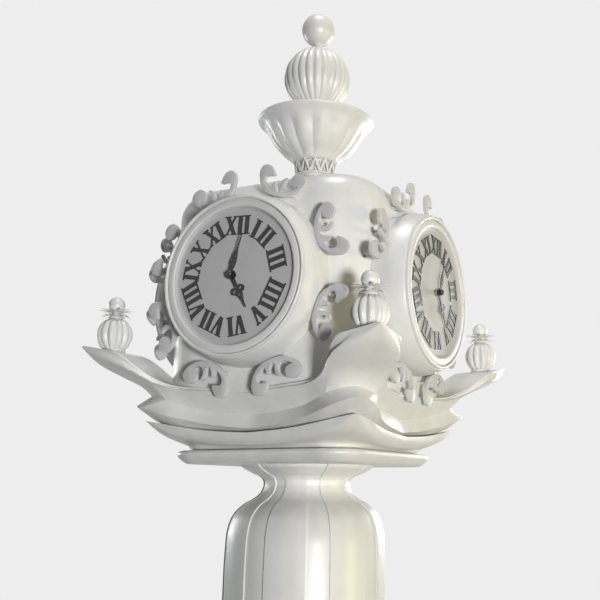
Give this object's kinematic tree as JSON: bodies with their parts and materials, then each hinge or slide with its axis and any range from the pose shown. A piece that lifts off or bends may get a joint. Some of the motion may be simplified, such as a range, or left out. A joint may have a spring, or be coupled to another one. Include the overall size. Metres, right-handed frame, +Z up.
{
  "type": "street clock",
  "caption": "Street clock with a dial on every side of a rounded case, scroll ornaments, ribbed ball finials and a channelled pillar on a plinth.",
  "frame": {"origin": "centre of the base on the ground", "axes": "+Z up, -Y is the front dial, +X the right dial"},
  "size_m": [1.062, 1.062, 4.011],
  "materials": {
    "cast_white": "satin light grey paint",
    "scroll_grey": "satin grey paint",
    "dial_grey": "matte mid grey enamel",
    "black_enamel": "matte black enamel",
    "steel": "turned steel",
    "gear_brass": "cut brass"
  },
  "bodies": {
    "frame": {"base_plinth": "cast_white", "hinge_pins": "steel", "column": "cast_white", "head_plate": "cast_white", "lower_tier": "cast_white", "upper_tier": "cast_white", "case": "cast_white", "drum_front": "cast_white", "drum_right": "cast_white", "drum_back": "cast_white", "drum_left": "cast_white", "bezel_front": "cast_white", "bezel_right": "cast_white", "bezel_back": "cast_white", "bezel_left": "cast_white", "dial_front": "dial_grey", "dial_right": "dial_grey", "dial_back": "dial_grey", "dial_left": "dial_grey", "numerals_front": "black_enamel", "numerals_right": "black_enamel", "numerals_back": "black_enamel", "numerals_left": "black_enamel", "scrolls_front": "scroll_grey", "scrolls_right": "scroll_grey", "scrolls_back": "scroll_grey", "scrolls_left": "scroll_grey", "movement_front": "steel", "movement_right": "steel", "movement_back": "steel", "movement_left": "steel", "crown_collar": "cast_white", "crown_bowl": "cast_white", "crown_ribbed_ball": "cast_white", "crown_top_ball": "cast_white", "corner_balls": "cast_white", "corner_knobs": "cast_white", "tie_rods": "steel"},
    "door": {"access_door": "cast_white"},
    "lock": {"door_lock": "steel"},
    "minute_front": {"minute_hand_front": "black_enamel", "minute_arbor_front": "steel"},
    "motion_front": {"motion_wheel_front": "gear_brass"},
    "hour_front": {"hour_hand_front": "black_enamel", "hour_wheel_front": "gear_brass"},
    "minute_right": {"minute_hand_right": "black_enamel", "minute_arbor_right": "steel"},
    "motion_right": {"motion_wheel_right": "gear_brass"},
    "hour_right": {"hour_hand_right": "black_enamel", "hour_wheel_right": "gear_brass"},
    "minute_back": {"minute_hand_back": "black_enamel", "minute_arbor_back": "steel"},
    "motion_back": {"motion_wheel_back": "gear_brass"},
    "hour_back": {"hour_hand_back": "black_enamel", "hour_wheel_back": "gear_brass"},
    "minute_left": {"minute_hand_left": "black_enamel", "minute_arbor_left": "steel"},
    "motion_left": {"motion_wheel_left": "gear_brass"},
    "hour_left": {"hour_hand_left": "black_enamel", "hour_wheel_left": "gear_brass"}
  },
  "joints": [
    {"name": "door_hinge", "type": "hinge", "parent": "frame", "child": "door", "pos_m": [-0.16, -0.299, 0.33], "axis": [0, 0, -1], "range_deg": [0, 110]},
    {"name": "lock_turn", "type": "hinge", "parent": "door", "child": "lock", "pos_m": [0.105, -0.29, 0.33], "axis": [0, 1, 0], "range_deg": [0, 90]},
    {"name": "minute_turn_front", "type": "hinge", "parent": "frame", "child": "minute_front", "pos_m": [0, -0.47, 2.9], "axis": [0, 1, 0], "continuous": true},
    {"name": "motion_turn_front", "type": "hinge", "parent": "frame", "child": "motion_front", "pos_m": [0, -0.45, 2.96], "axis": [0, 1, 0], "continuous": true},
    {"name": "hour_turn_front", "type": "hinge", "parent": "frame", "child": "hour_front", "pos_m": [0, -0.47, 2.9], "axis": [0, 1, 0], "continuous": true},
    {"name": "minute_turn_right", "type": "hinge", "parent": "frame", "child": "minute_right", "pos_m": [0.47, 0, 2.9], "axis": [-1, 0, 0], "continuous": true},
    {"name": "motion_turn_right", "type": "hinge", "parent": "frame", "child": "motion_right", "pos_m": [0.45, 0, 2.96], "axis": [-1, 0, 0], "continuous": true},
    {"name": "hour_turn_right", "type": "hinge", "parent": "frame", "child": "hour_right", "pos_m": [0.47, 0, 2.9], "axis": [-1, 0, 0], "continuous": true},
    {"name": "minute_turn_back", "type": "hinge", "parent": "frame", "child": "minute_back", "pos_m": [0, 0.47, 2.9], "axis": [0, -1, 0], "continuous": true},
    {"name": "motion_turn_back", "type": "hinge", "parent": "frame", "child": "motion_back", "pos_m": [0, 0.45, 2.96], "axis": [0, -1, 0], "continuous": true},
    {"name": "hour_turn_back", "type": "hinge", "parent": "frame", "child": "hour_back", "pos_m": [0, 0.47, 2.9], "axis": [0, -1, 0], "continuous": true},
    {"name": "minute_turn_left", "type": "hinge", "parent": "frame", "child": "minute_left", "pos_m": [-0.47, 0, 2.9], "axis": [1, 0, 0], "continuous": true},
    {"name": "motion_turn_left", "type": "hinge", "parent": "frame", "child": "motion_left", "pos_m": [-0.45, 0, 2.96], "axis": [1, 0, 0], "continuous": true},
    {"name": "hour_turn_left", "type": "hinge", "parent": "frame", "child": "hour_left", "pos_m": [-0.47, 0, 2.9], "axis": [1, 0, 0], "continuous": true}
  ],
  "couplings": [
    {"joint": "motion_turn_front", "follows": "minute_turn_front", "ratio": -0.33333},
    {"joint": "hour_turn_front", "follows": "minute_turn_front", "ratio": 0.083333},
    {"joint": "motion_turn_right", "follows": "minute_turn_right", "ratio": -0.33333},
    {"joint": "hour_turn_right", "follows": "minute_turn_right", "ratio": 0.083333},
    {"joint": "motion_turn_back", "follows": "minute_turn_back", "ratio": -0.33333},
    {"joint": "hour_turn_back", "follows": "minute_turn_back", "ratio": 0.083333},
    {"joint": "motion_turn_left", "follows": "minute_turn_left", "ratio": -0.33333},
    {"joint": "hour_turn_left", "follows": "minute_turn_left", "ratio": 0.083333}
  ]
}
